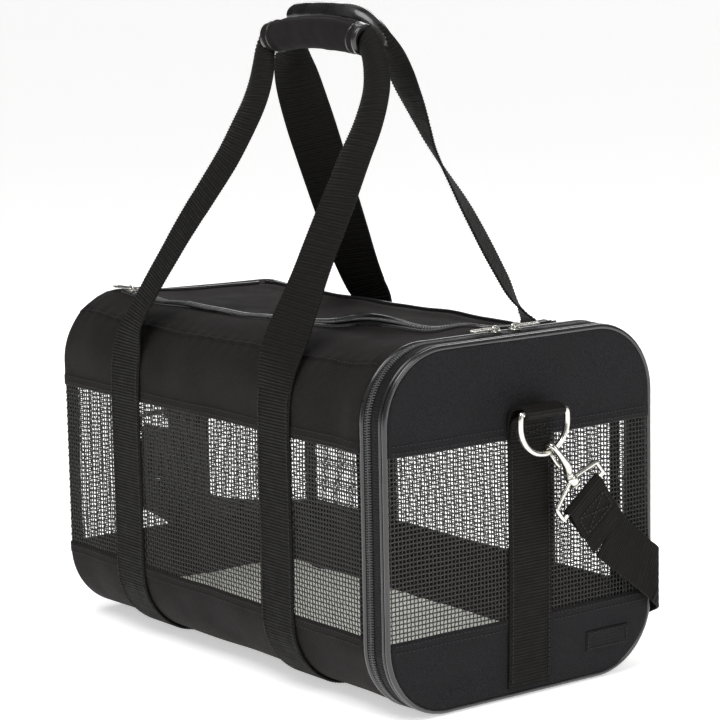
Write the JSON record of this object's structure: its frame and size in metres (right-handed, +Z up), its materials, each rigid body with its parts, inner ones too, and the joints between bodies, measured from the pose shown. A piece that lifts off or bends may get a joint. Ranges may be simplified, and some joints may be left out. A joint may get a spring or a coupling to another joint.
{
  "type": "soft-sided pet carrier bag",
  "caption": "Soft-sided pet carrier bag with mesh windows, a zipped end door, a zipped top flap, twin carry handles and a clip-on shoulder strap.",
  "frame": {"origin": "middle of the footprint, on the surface that the bag stands on", "axes": "+X to the zip door's end, +Y to the far long side with the shoulder strap, +Z up"},
  "size_m": [0.4842, 0.2617, 0.4975],
  "materials": {
    "panel_fabric": "matte",
    "door_fabric": "matte",
    "window_mesh": "satin",
    "vinyl": "gloss",
    "webbing": "satin",
    "zip": "satin",
    "grip": "matte",
    "nickel": "gloss",
    "hoop_steel": "satin",
    "board": "matte",
    "fleece": "matte",
    "patch": "satin",
    "adjuster_plastic": "satin"
  },
  "bodies": {
    "carrier": {"lower_panel": "panel_fabric", "side_mesh_near": "window_mesh", "side_mesh_far": "window_mesh", "side_band_near": "panel_fabric", "side_band_far": "panel_fabric", "top_panel_near": "panel_fabric", "top_panel_far": "panel_fabric", "top_zip_body_side": "zip", "back_panel_low": "panel_fabric", "back_panel_high": "panel_fabric", "back_mesh": "window_mesh", "front_hoop": "hoop_steel", "back_hoop": "hoop_steel", "base_board": "board", "body_piping": "vinyl", "door_zip_body_side": "zip", "hinge_strip": "panel_fabric", "webbing_loop_back": "webbing", "webbing_loop_front": "webbing", "back_strap": "webbing", "back_ring_tab": "webbing", "shoulder_strap_far": "webbing", "strap_adjuster": "adjuster_plastic"},
    "door": {"door_zip_door_side": "zip", "door_gusset": "door_fabric", "door_piping_inner": "vinyl", "door_piping_outer": "vinyl", "door_panel_low": "door_fabric", "door_panel_high": "door_fabric", "door_mesh": "window_mesh", "door_patch": "patch", "door_strap": "webbing", "door_ring_tab": "webbing", "shoulder_strap_door": "webbing"},
    "door_ring": {"door_ring": "nickel", "door_hook": "nickel"},
    "door_gate": {"door_hook_gate": "nickel"},
    "door_eye": {"door_hook_eye": "nickel", "door_strap_fold": "webbing"},
    "back_ring": {"back_ring": "nickel", "back_hook": "nickel"},
    "back_gate": {"back_hook_gate": "nickel"},
    "back_eye": {"back_hook_eye": "nickel", "back_strap_fold": "webbing"},
    "top_flap": {"top_flap": "panel_fabric", "top_zip_flap_side": "zip"},
    "pad": {"fleece_pad": "fleece"},
    "near_handle": {"near_handle": "webbing", "near_grip": "grip"},
    "far_handle": {"far_handle": "webbing", "far_grip": "grip"},
    "door_slider_near": {"door_slider_near": "nickel"},
    "door_pull_near": {"door_slider_near_pull": "nickel"},
    "door_slider_far": {"door_slider_far": "nickel"},
    "door_pull_far": {"door_slider_far_pull": "nickel"},
    "top_slider_back": {"top_slider_back": "nickel"},
    "top_pull_back": {"top_slider_back_pull": "nickel"},
    "top_slider_front": {"top_slider_front": "nickel"},
    "top_pull_front": {"top_slider_front_pull": "nickel"}
  },
  "joints": [
    {"name": "door_hinge", "type": "hinge", "parent": "carrier", "child": "door", "pos_m": [0.2142, 0, 0.0033], "axis": [0, 1, 0], "range_deg": [0, 80]},
    {"name": "top_flap_hinge", "type": "hinge", "parent": "carrier", "child": "top_flap", "pos_m": [0, 0.061, 0.2652], "axis": [-1, 0, 0], "range_deg": [0, 75]},
    {"name": "pad_lift", "type": "slide", "parent": "carrier", "child": "pad", "axis": [0, 0, 1], "range_m": [0, 0.02]},
    {"name": "near_handle_fold", "type": "hinge", "parent": "carrier", "child": "near_handle", "pos_m": [0, -0.12635, 0.2345], "axis": [1, 0, 0], "range_deg": [0, 150]},
    {"name": "far_handle_fold", "type": "hinge", "parent": "carrier", "child": "far_handle", "pos_m": [0, 0.12635, 0.2345], "axis": [-1, 0, 0], "range_deg": [0, 150]},
    {"name": "door_ring_swing", "type": "hinge", "parent": "door", "child": "door_ring", "pos_m": [0.2345, 0.003, 0.2125], "axis": [0, -1, 0], "range_deg": [-5, 60]},
    {"name": "door_gate_press", "type": "hinge", "parent": "door_ring", "child": "door_gate", "pos_m": [0.2287, 0.02107, 0.17037], "axis": [0, 0.788, 0.6157], "range_deg": [0, 20], "stiffness_Nm_per_rad": 0.05},
    {"name": "door_eye_swivel", "type": "hinge", "parent": "door_ring", "child": "door_eye", "pos_m": [0.2345, 0.02969, 0.15933], "axis": [0, 0.6157, -0.788], "range_deg": [-15, 15]},
    {"name": "back_ring_swing", "type": "hinge", "parent": "carrier", "child": "back_ring", "pos_m": [-0.2345, -0.003, 0.2125], "axis": [0, 1, 0], "range_deg": [-5, 60]},
    {"name": "back_gate_press", "type": "hinge", "parent": "back_ring", "child": "back_gate", "pos_m": [-0.2287, -0.00996, 0.16609], "axis": [0, -0.9703, 0.2419], "range_deg": [0, 20], "stiffness_Nm_per_rad": 0.05},
    {"name": "back_eye_swivel", "type": "hinge", "parent": "back_ring", "child": "back_eye", "pos_m": [-0.2345, -0.01335, 0.15251], "axis": [0, -0.2419, -0.9703], "range_deg": [-15, 15]},
    {"name": "door_slider_near_run", "type": "slide", "parent": "carrier", "child": "door_slider_near", "axis": [0, -1, 0], "range_m": [0, 0.05]},
    {"name": "door_slider_far_run", "type": "slide", "parent": "carrier", "child": "door_slider_far", "axis": [0, 1, 0], "range_m": [0, 0.05]},
    {"name": "top_slider_back_run", "type": "slide", "parent": "top_flap", "child": "top_slider_back", "axis": [-0.9981, -0.0611, 0], "range_m": [0, 0.006]},
    {"name": "top_slider_front_run", "type": "slide", "parent": "top_flap", "child": "top_slider_front", "axis": [0.9981, 0.0611, 0], "range_m": [0, 0.16]},
    {"name": "door_pull_near_flip", "type": "hinge", "parent": "door_slider_near", "child": "door_pull_near", "pos_m": [0.19635, -0.0086, 0.2693], "axis": [-1, 0, 0], "range_deg": [0, 150]},
    {"name": "door_pull_far_flip", "type": "hinge", "parent": "door_slider_far", "child": "door_pull_far", "pos_m": [0.19635, 0.0086, 0.2693], "axis": [1, 0, 0], "range_deg": [0, 150]},
    {"name": "top_pull_back_flip", "type": "hinge", "parent": "top_slider_back", "child": "top_pull_back", "pos_m": [-0.1816, -0.07718, 0.2693], "axis": [-0.0611, 0.9981, 0], "range_deg": [0, 150]},
    {"name": "top_pull_front_flip", "type": "hinge", "parent": "top_slider_front", "child": "top_pull_front", "pos_m": [-0.1704, -0.07642, 0.2693], "axis": [0.0611, -0.9981, 0], "range_deg": [0, 150]}
  ]
}
